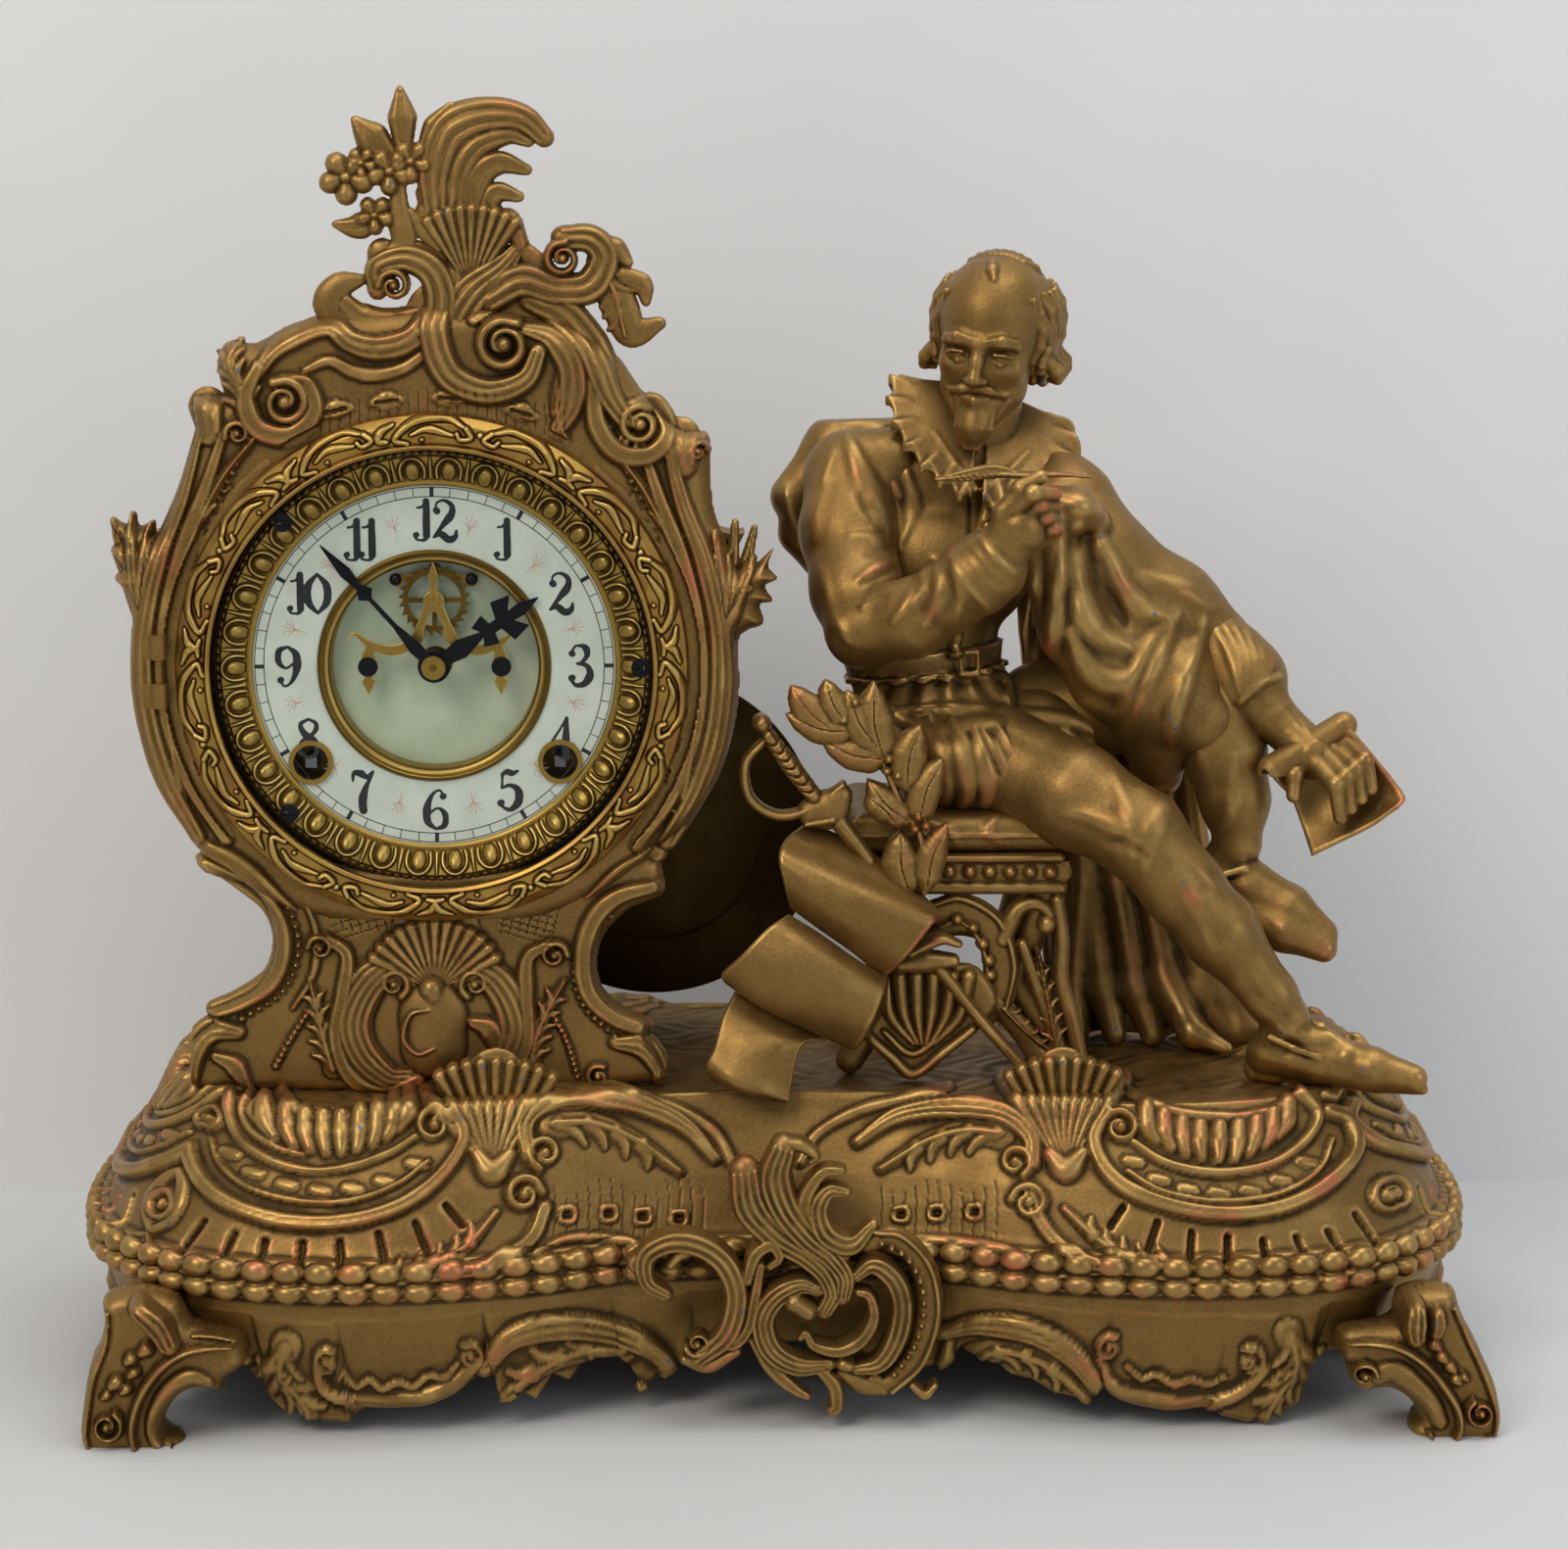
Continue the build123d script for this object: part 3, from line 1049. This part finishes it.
def pendulum(studs):
    """The short pendulum and the bridge that it hangs from, behind the back plate."""
    hang, bob_z = HANG_Z, HANG_Z - PENDULUM_LENGTH
    rod_solid = on_dial(0, 0) * Pos(
        0, PENDULUM_Y, (hang + bob_z) / 2
    ) * Cylinder(ARBOR_R * 0.7, PENDULUM_LENGTH)
    eye = on_dial(0, hang) * slab(
        ring(ARBOR_R * 2.2, ARBOR_R + RUN_GAP), WHEEL_THICK * 2, PENDULUM_Y + WHEEL_THICK
    )
    stem = rod_solid - arbor((0, hang), ARBOR_R * 2, GAP_FRONT_Y, CAN_BACK_Y)
    bob = on_dial(0, bob_z) * slab(Circle(BOB_R), BOB_THICK, BOB_Y + BOB_THICK)
    bob = bob.fillet(BOB_THICK * 0.4, bob.edges().filter_by(GeomType.CIRCLE))
    write(fuse([biggest(stem), eye, bob]), "pendulum")
    studs.append(arbor((0, hang), ARBOR_R, BACK_PLATE_Y, PENDULUM_Y + WHEEL_THICK * 2))
    shaft = arbor((0, REGULATOR_Z), ARBOR_R, DIAL_Y - SASH_THICK * 0.6, BACK_PLATE_Y + WHEEL_THICK * 3)
    snail = on_dial(0, REGULATOR_Z) * slab(
        Circle(ARBOR_R * 2.6), WHEEL_THICK, BACK_PLATE_Y + WHEEL_THICK * 3
    )
    write(shaft.fuse(snail), "regulator_arbor")


def gong_and_hammer(studs):
    """A flat wound gong on its stand at the bottom of the can, and the hammer that strikes its rim."""
    y_back = CAN_BACK_Y - CAN_WALL * 12
    points_out, points_in, steps = [], [], 24 * GONG_TURNS
    for k in range(steps + 1):
        angle = -STEEP + k * TURN * GONG_TURNS / steps
        r = GONG_R - k * GONG_PITCH * GONG_TURNS / steps
        points_out.append(polar(r, angle))
        points_in.append(polar(r - GONG_WIRE, angle))
    edges = [
        Spline(points_out), Line(
            points_out[-1], points_in[-1]
        ), Spline(list(reversed(points_in))), Line(points_in[0], points_out[0])
    ]
    coil = on_dial(0, 0) * slab(make_face(edges), GONG_WIRE, y_back)
    foot_z = -(GONG_R - GONG_WIRE / 2)
    inside = CAN_R - CAN_WALL
    stand_face = Pos(0, (foot_z - inside) / 2) * Rectangle(
        GONG_WIRE * 4, inside + foot_z + OVER
    ) & Circle(inside)
    post = on_dial(0, 0) * slab(stand_face, GONG_WIRE * 4, y_back + GONG_WIRE * 1.5)
    write(coil.fuse(post), "gong")
    hub = (-PLATE_W * 0.36, -PLATE_H * 0.08)
    head = (-(GONG_R + HAMMER_R + SEAT_GAP * 3), -PLATE_H * 0.02)
    hub_y = BACK_PLATE_Y + WHEEL_THICK * 2
    hub_solid = on_dial(*hub) * slab(
        ring(PILLAR_R, ARBOR_R + RUN_GAP), WHEEL_THICK * 3, hub_y + WHEEL_THICK * 2
    )
    start = (DIAL_X + hub[0] - PILLAR_R * 0.8, hub_y, DIAL_Z + hub[1])
    bend = (DIAL_X + head[0], hub_y + BOB_THICK, DIAL_Z + head[1])
    end = (DIAL_X + head[0], y_back, DIAL_Z + head[1])
    arm = limb([start, bend, end], [ARBOR_R * 0.8] * 3)
    tip = on_dial(*head) * slab(Circle(HAMMER_R), HAMMER_R * 2, y_back + HAMMER_R / 2)
    bore = arbor(hub, ARBOR_R + RUN_GAP, BACK_PLATE_Y, CAN_BACK_Y)
    write(fuse([hub_solid, arm, tip]) - bore, "hammer")
    studs.append(arbor(hub, ARBOR_R, BACK_PLATE_Y, hub_y + WHEEL_THICK * 3))


def place_clock():
    screws = dial_parts() + bridge() + [can_and_cover()]
    write(Compound(children=screws), "screws")
    bezel_parts()
    studs = plates()
    great_wheels()
    time_train()
    strike_train()
    pallets()
    hands()
    motion_works(studs)
    pendulum(studs)
    gong_and_hammer(studs)
    write(Compound(children=studs), "movement_pillars")


# Figure, stool and trophy

FIGURE_SHARES = {
    "head": (0.403, 0.0, 0.90), "neck": (0.387, 0.067, 0.745), "chest": (0.34, 0.10, 0.63),
    "waist": (0.311, 0.07, 0.505), "pelvis": (0.331, 0.03, 0.40),
    "right_shoulder": (0.215, 0.06, 0.70), "right_elbow": (0.215, -0.25, 0.545),
    "right_wrist": (0.37, -0.367, 0.62), "right_hand": (0.425, -0.40, 0.69),
    "left_shoulder": (0.50, 0.14, 0.68), "left_elbow": (0.70, 0.05, 0.52),
    "left_cuff": (0.754, -0.10, 0.485),
    "left_wrist": (0.795, -0.167, 0.44), "left_hand": (0.845, -0.21, 0.40),
    "right_hip": (0.36, -0.10, 0.385), "right_knee": (0.60, -0.40, 0.315),
    "right_ankle": (0.81, -0.417, 0.085),
    "right_heel": (0.785, -0.39, 0.03), "right_toe": (0.965, -0.52, 0.028),
    "left_hip": (0.475, 0.05, 0.405), "left_knee": (0.705, -0.10, 0.43), "left_ankle": (0.75, -0.18, 0.27),
    "left_heel": (0.70, -0.15, 0.225), "left_toe": (0.855, -0.28, 0.17),
}
FIG_PALM_TILT = 38.0


def body_point(name):
    x, y, z = FIGURE_SHARES[name]
    return (FIG_LEFT + x * FIG_SPAN, y * FIG_DEEP, BASE_H + z * FIG_TALL)


def shifted(p, dx=0.0, dy=0.0, dz=0.0):
    return (p[0] + dx, p[1] + dy, p[2] + dz)


def torso():
    """The doublet: stacked ovals from hips to collar, with a belt and a flared ruff."""
    pelvis, waist, chest, neck = [body_point(n) for n in ("pelvis", "waist", "chest", "neck")]
    sections = (
        (shifted(pelvis, dz=-THIGH_R * 0.5), HEAD_R * 1.55, HEAD_R * 1.15),
        (pelvis, HEAD_R * 1.6, HEAD_R * 1.25),
        (waist, HEAD_R * 1.28, HEAD_R * 1.02),
        (chest, HEAD_R * 1.62, HEAD_R * 1.18),
        (shifted(neck, dz=-NECK_R * 1.6), HEAD_R * 1.7, HEAD_R * 0.85),
        (shifted(neck, dz=-NECK_R * 0.3), NECK_R * 1.5, NECK_R * 1.3),
    )
    wires = [(Pos(*at) * Ellipse(a, b)).face().outer_wire() for at, a, b in sections]
    body = Solid.make_loft(wires)
    belt = Pos(*waist) * extrude(Ellipse(HEAD_R * 1.36, HEAD_R * 1.1), COLLAR_THICK * 2)
    ruff = Pos(
        *shifted(neck, dy=-NECK_R * 0.3, dz=-NECK_R * 0.6)
    ) * Rot(14, -8, 0) * Cylinder(COLLAR_R, COLLAR_THICK)
    return fuse([body, belt, ruff])


def head():
    """A plain head with a rounded crown, side hair and a short pointed beard."""
    at = body_point("head")
    skull = egg(at, HEAD_R * 0.92, HEAD_R * 1.02, HEAD_R * 1.12)
    jaw = egg(
        shifted(at, dy=-HEAD_R * 0.36, dz=-HEAD_R * 0.62), HEAD_R * 0.62, HEAD_R * 0.62, HEAD_R * 0.72
    )
    beard = limb(
        [shifted(at, dy=-HEAD_R * 0.6, dz=-HEAD_R * 0.95), shifted(at, dy=-HEAD_R * 0.8, dz=-HEAD_R * 1.4)],
        [HEAD_R * 0.36, HEAD_R * 0.16],
    )
    nose = limb(
        [
            shifted(at, dy=-HEAD_R * 0.98, dz=-HEAD_R * 0.05),
            shifted(at, dy=-HEAD_R * 1.12, dz=-HEAD_R * 0.36),
        ],
        [HEAD_R * 0.09, HEAD_R * 0.14],
    )
    hair = [
        egg(
            shifted(at, dx=side * HEAD_R * 0.86, dy=HEAD_R * 0.2, dz=-HEAD_R * 0.12), HEAD_R * 0.3,
            HEAD_R * 0.6, HEAD_R * 0.62,
        )
        for side in (-1, 1)
    ]
    neck = limb(
        [shifted(at, dy=HEAD_R * 0.1, dz=-HEAD_R * 0.5), body_point("neck")], [NECK_R, NECK_R * 1.05]
    )
    return fuse([skull, jaw, beard, nose, neck] + hair)


def arm(side, radii):
    """Shoulder to wrist with a turned cuff, and a closed hand."""
    names = ("shoulder", "elbow", "wrist", "hand") if side == "right" else (
        "shoulder", "elbow", "cuff", "wrist", "hand"
    )
    points = [body_point(f"{side}_{n}") for n in names]
    return limb(points, radii)


def legs():
    """The breeches and both legs: one foot on the base, the other leg crossed over it."""
    p = {n: body_point(n) for n in FIGURE_SHARES}
    right = limb(
        [p["right_hip"], p["right_knee"], p["right_ankle"], p["right_heel"]],
        [THIGH_R, KNEE_R, ANKLE_R, SHOE_R],
    )
    left = limb(
        [p["left_hip"], p["left_knee"], p["left_ankle"], p["left_heel"]], [THIGH_R, KNEE_R, ANKLE_R, SHOE_R]
    )
    calf = [
        limb([p["right_knee"], mid(p["right_knee"], p["right_ankle"], 0.4)], [KNEE_R, CALF_R]),
        limb([p["left_knee"], mid(p["left_knee"], p["left_ankle"], 0.4)], [KNEE_R, CALF_R]),
    ]
    shoes = [
        limb(
            [p["right_heel"], mid(p["right_heel"], p["right_toe"], 0.5), p["right_toe"]],
            [SHOE_R, SHOE_R * 0.9, TOE_R],
        ),
        limb(
            [p["left_heel"], mid(p["left_heel"], p["left_toe"], 0.5), p["left_toe"]],
            [SHOE_R, SHOE_R * 0.9, TOE_R],
        ),
    ]
    lap = limb([p["right_hip"], p["left_hip"]], [THIGH_R * 1.1, THIGH_R * 1.05])
    return fuse([right, left, lap] + calf + shoes)


def mid(p, q, t):
    return tuple(a + (b - a) * t for a, b in zip(p, q))


def cloak():
    """The cloak: thrown over the back and the left arm, over the raised knee, and down behind the stool."""
    r = CLOAK_THICK
    shoulder, left, elbow, knee = [
        body_point(n)
        for n in ("right_shoulder", "left_shoulder", "left_elbow", "left_knee")
    ]
    chest = body_point("chest")
    floor_z = BASE_H + r * 0.75
    back = [
        shifted(shoulder, -r * 1.0, r * 0.6, r * 0.2), shifted(chest, dy=HEAD_R * 1.1, dz=r),
        shifted(left, dy=r * 0.8),
    ]
    drop = [
        shifted(left, r * 0.2, 0, 0), shifted(mid(left, elbow, 0.5), 0, 0),
        shifted(elbow, r * 0.2, 0, r * 0.2),
    ]
    lap = [
        shifted(left, -r, -r * 1.2, 0), shifted(mid(chest, knee, 0.6), dy=-r * 0.6),
        shifted(knee, -r * 0.8, 0, r * 0.2),
    ]
    front = [
        shifted(elbow, -r * 0.5, -r * 0.8, 0), shifted(knee, -r * 1.0, r * 0.4, -r),
        shifted(knee, -r * 1.8, r * 1.2, -r * 3.4),
    ]
    wing = [shifted(shoulder, -r * 1.3, r * 0.8, 0), shifted(shoulder, -r * 1.6, r * 1.3, -r * 2.4)]
    tail_x = STOOL_X + STOOL_W / 2 + r * 1.6
    tail = [
        shifted(elbow, -r, r * 1.8, -r * 2), (tail_x + r, STOOL_D / 2, BASE_H + STOOL_H),
        (tail_x + r * 2, STOOL_D / 2, floor_z),
    ]
    hem = [tail[-1], shifted(tail[-1], r * 2.6, -r * 0.8, 0)]
    chains = ((back, 1.5), (drop, 1.8), (lap, 1.75), (front, 1.7), (wing, 0.9), (tail, 1.1), (hem, 0.8))
    return fuse([limb(points, [r * share] * len(points)) for points, share in chains])


def stool():
    """The stool: a beaded apron on four splayed scroll legs, with a hoop in front."""
    top = BASE_H + STOOL_H
    middle_y = -STOOL_R_Y
    frame = Pos(STOOL_X, middle_y, top - APRON_H / 2) * Box(STOOL_W, STOOL_D, APRON_H)
    frame = frame.fuse(
        Pos(STOOL_X, middle_y, top - APRON_H * 0.12) * Box(
            STOOL_W + STOOL_LEG_R / 2, STOOL_D + STOOL_LEG_R / 2, APRON_H * 0.24
        )
    )
    pieces = [frame]
    r = STOOL_LEG_R
    for side in (-1, 1):
        for end in (-1, 1):
            x, y = STOOL_X + side * (STOOL_W / 2 - r), middle_y + end * (STOOL_D / 2 - r)
            knee = (x - side * r * 1.6, y - end * r * 0.4, BASE_H + STOOL_H * 0.42)
            toe = (x + side * r * 1.4, y + end * r * 0.4, BASE_H + r * 0.8)
            pieces.append(limb([(x, y, top - APRON_H), knee, toe], [r, r * 0.85, r * 0.8]))
    hoop_y = middle_y - STOOL_D / 2 + r
    hoop = Pos(STOOL_X, hoop_y, BASE_H + STOOL_H * 0.46) * Rot(STEEP, 0, 0) * Torus(STOOL_W * 0.24, r * 0.6)
    pieces.append(hoop)
    ground = Pos(STOOL_X, middle_y, BASE_H - STOOL_H / 2) * Box(STOOL_W * 2, STOOL_D * 2, STOOL_H)
    return fuse(pieces) - ground


def cushion():
    at = Pos(STOOL_X, -STOOL_R_Y, BASE_H + STOOL_H + CUSHION_H / 2)
    body = at * Box(STOOL_W + STOOL_LEG_R * 0.6, STOOL_D, CUSHION_H)
    return body.fillet(CUSHION_H * 0.42, body.edges())


STOOL_R_Y = STOOL_LEG_R


def leaf(at, lean, tip):
    shape = scale(Sphere(LEAF_L / 2), by=(LEAF_W / LEAF_L, LEAF_THICK / LEAF_L, 1))
    return Pos(*at) * Rot(0, 0, tip) * Rot(0, lean, 0) * Pos(0, 0, LEAF_L / 2) * shape


WREATH_SHARES = (
    (0.20, 0.43, -70), (0.17, 0.44, -24), (0.22, 0.43, 18), (0.22, 0.39, -66), (0.25, 0.37, 34),
    (0.24, 0.34, -48),
    (0.27, 0.33, 26), (0.25, 0.30, 170), (0.28, 0.30, -160),
)

STEM_SHARES = ((0.17, 0.45), (0.21, 0.40), (0.27, 0.31))


def wreath():
    """A laurel branch laid against the seat, its leaves in pairs along a stem."""
    front_y = -FIG_DEEP * 0.375
    stem = [(FIG_LEFT + x * FIG_SPAN, front_y, BASE_H + z * FIG_TALL) for x, z in STEM_SHARES]
    stem.append((stem[-1][0], -STOOL_D / 2, stem[-1][2]))
    pieces = [limb(stem, [LEAF_THICK * 0.8] * len(stem))]
    for x, z, lean in WREATH_SHARES:
        pieces.append(leaf((FIG_LEFT + x * FIG_SPAN, front_y, BASE_H + z * FIG_TALL), lean, 0))
    return biggest(fuse(pieces))


SWORD_SHARES = ((0.07, -0.36, 0.445), (0.145, -0.40, 0.31), (0.425, -0.52, 0.03))


def sword():
    """The sheathed sword: pommel, twisted grip, bow guard, shell and a flat blade."""
    pommel, guard, point = [
        (FIG_LEFT + x * FIG_SPAN, y * FIG_DEEP, BASE_H + z * FIG_TALL)
        for x, y, z in SWORD_SHARES
    ]
    pieces = [
        limb([pommel, guard], [SWORD_R * 1.3, SWORD_R]), egg(guard, SWORD_R * 2.6, SWORD_R, SWORD_R * 2)
    ]
    bow_mid = (pommel[0] - SWORD_R * 2.6, pommel[1], (pommel[2] + guard[2]) / 2 - SWORD_R)
    pieces.append(limb([pommel, bow_mid, guard], [SWORD_R * 0.7] * 3))
    pieces.append(limb([guard, point], [SWORD_R * 0.9, SWORD_R * 0.6]))
    return fuse(pieces)


def curved_sheet(width, height, sweep, turn):
    """A parchment bent to an arc about a level axis, with the crown of the arc to the front."""
    radius = height / 2 / math.sin(sweep / 2 * DEG)
    outer, inner = Circle(radius), Circle(radius - PARCHMENT_THICK)
    wedge = [(0, 0), polar(radius * 3, STEEP - sweep / 2), polar(radius * 3, STEEP + sweep / 2)]
    sector = Pos(0, -radius) * ((outer - inner) & make_face(Polyline(wedge, close=True)))
    return Rot(0, STEEP, 0) * Pos(0, 0, -width / 2) * extrude(Rot(0, 0, turn) * sector, width)


PARCHMENT_SHARES = (
    # middle in shares of the figure's box, width, height, sweep and turn about its own axis, lean
    (0.182, -0.48, 0.232, 42.0, 31.0, 84.0, 188.0, 26.0),
    (0.132, -0.52, 0.148, 43.0, 32.0, 84.0, 182.0, 26.0),
    (0.068, -0.52, 0.060, 33.0, 32.0, 120.0, 176.0, 24.0),
)


def parchments():
    """Two bare sheets that lap down from the seat, and the curled one that they end on."""
    sheets = []
    for x, y, z, width, height, sweep, turn, lean in PARCHMENT_SHARES:
        at = Pos(FIG_LEFT + x * FIG_SPAN, y * FIG_DEEP, BASE_H + z * FIG_TALL)
        sheets.append(at * Rot(0, lean, 0) * curved_sheet(width, height, sweep, turn))
    return sheets


def shield():
    """A small fluted shield that leans on the stool behind the parchments."""
    outline = [(-0.5, 0.5), (0.5, 0.5), (0.42, -0.1), (0, -0.55), (-0.42, -0.1)]
    face = make_face(Polyline([(x * SHIELD_W, z * SHIELD_H) for x, z in outline], close=True))
    at = Pos(STOOL_X - STOOL_W * 0.24, -STOOL_R_Y - STOOL_D / 2 - SHIELD_THICK, BASE_H + SHIELD_H * 0.54)
    return at * slab(face, SHIELD_THICK, 0)


def page():
    """The open page that hangs from the left hand, with its rolled top."""
    hand, span = body_point("left_hand"), HAND_R * 4.6
    sheet = Box(span, PAGE_THICK, span * 0.86)
    roll = Pos(-span * 0.42, 0, span * 0.40) * Rot(0, STEEP, 0) * Cylinder(PAGE_THICK * 1.6, span * 0.5)
    return Pos(
        *shifted(hand, HAND_R * 0.8, -HAND_R * 1.1, -HAND_R * 1.5)
    ) * Rot(8, FIG_PALM_TILT * 0.8, -10) * sheet.fuse(roll)


def quill():
    hand = body_point("right_hand")
    left, right = shifted(
        hand, -HEAD_R * 1.15, -HAND_R * 0.2, HAND_R * 0.95
    ), shifted(hand, HEAD_R * 1.0, 0, HAND_R * 1.0)
    return limb([left, mid(left, right, 0.5), right], [QUILL_R * 1.6, QUILL_R, QUILL_R * 0.4])


def place_figure(ground):
    """Cuts each casting to seat on the ones that carry it, and writes them."""
    frame, pad = stool() - ground, cushion()
    body = biggest(torso() - pad - frame)
    both_legs = biggest(legs() - pad - frame - body - ground)
    skull = biggest(head() - body)
    right_arm = biggest(arm("right", [UPPER_ARM_R, ELBOW_R, WRIST_R, HAND_R]) - body)
    left_arm = biggest(arm("left", [UPPER_ARM_R, ELBOW_R, PUFF_R, WRIST_R, HAND_R]) - body - both_legs)
    cape = biggest(cloak() - body - both_legs - left_arm - right_arm - skull - pad - frame - ground)
    feather = biggest(quill() - right_arm - skull - body - cape)
    leaf_sheet = biggest(page() - left_arm - both_legs - cape)
    standing = [frame, pad, body, both_legs, right_arm]
    scrolls, blade, branch, plate = parchments(), sword(), wreath(), shield()
    for item in standing:
        blade, branch, plate = blade - item, branch - item, plate - item
        scrolls = [sheet - item for sheet in scrolls]
    scrolls = [sheet - ground for sheet in scrolls]
    scrolls = [scrolls[0] - scrolls[1], scrolls[1] - scrolls[2], scrolls[2]]
    scrolls = [biggest(sheet) for sheet in scrolls]
    for sheet in scrolls:
        blade, branch, plate = blade - sheet, branch - sheet, plate - sheet
    plate = biggest(plate - ground)
    blade = biggest(blade - plate)
    branch = biggest(branch - blade - plate)
    write(frame, "stool_frame")
    write(pad, "stool_cushion")
    write(body, "figure_torso")
    write(both_legs, "figure_legs")
    write(skull, "figure_head")
    write(right_arm, "figure_right_arm")
    write(left_arm, "figure_left_arm")
    write(cape, "figure_cloak")
    write(feather, "quill_pen")
    write(leaf_sheet, "held_page")
    write(Compound(children=scrolls), "parchments")
    write(blade, "sword")
    write(branch, "laurel_branch")
    write(plate, "trophy_shield")


if __name__ == "__main__":
    os.makedirs("parts", exist_ok=True)
    base_solid = place_base()
    place_case()
    place_clock()
    place_figure(base_solid)
